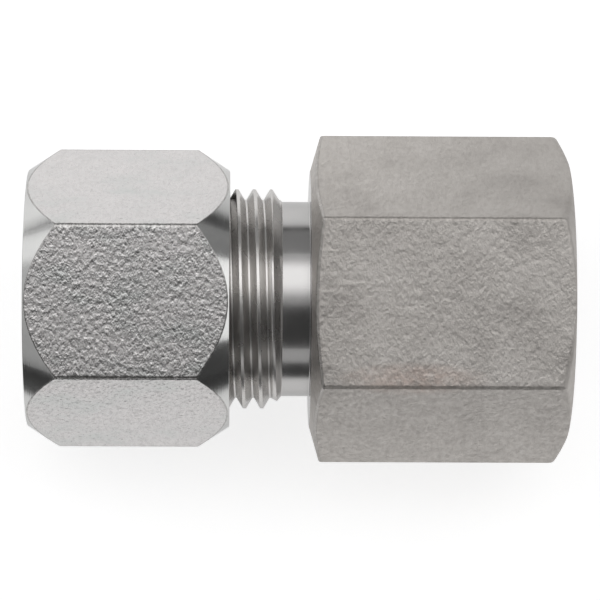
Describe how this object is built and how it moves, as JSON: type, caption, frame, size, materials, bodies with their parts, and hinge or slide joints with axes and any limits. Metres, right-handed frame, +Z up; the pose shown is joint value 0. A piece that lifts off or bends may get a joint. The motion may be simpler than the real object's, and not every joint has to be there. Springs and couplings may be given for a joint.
{
  "type": "flareless bite tube fitting adapter",
  "caption": "Straight steel adapter: a bite-type tube nut and cutting ring on the threaded stub of a hexagon body with an internally threaded pipe port.",
  "frame": {"origin": "centre of the bounding box, on the flow axis", "axes": "+X along the flow axis towards the pipe port (the nut is towards -X), +Z up with the hexagons' flats level, +Y completes the right-handed frame"},
  "size_m": [0.066, 0.0404, 0.035],
  "materials": {
    "body_steel": "satin, phosphated-looking warm grey flats, bright turned neck and thread",
    "nut_zinc": "bright zinc plate with grainy flats and shiny turned chamfers",
    "ring_steel": "dark satin hardened steel"
  },
  "bodies": {
    "fitting_body": {"body": "body_steel"},
    "ring": {"cutting_ring": "ring_steel"},
    "tube_nut": {"nut": "nut_zinc"}
  },
  "joints": [
    {"name": "ring_travel", "type": "slide", "parent": "fitting_body", "child": "ring", "axis": [1, 0, 0], "range_m": [-0.0128, 0]},
    {"name": "nut_turn", "type": "hinge", "parent": "ring", "child": "tube_nut", "pos_m": [-0.02062, 0, 0], "axis": [1, 0, 0], "range_deg": [-2160, 0]}
  ],
  "couplings": [
    {"joint": "ring_travel", "follows": "nut_turn", "m_per_rad": 0.00033688}
  ]
}
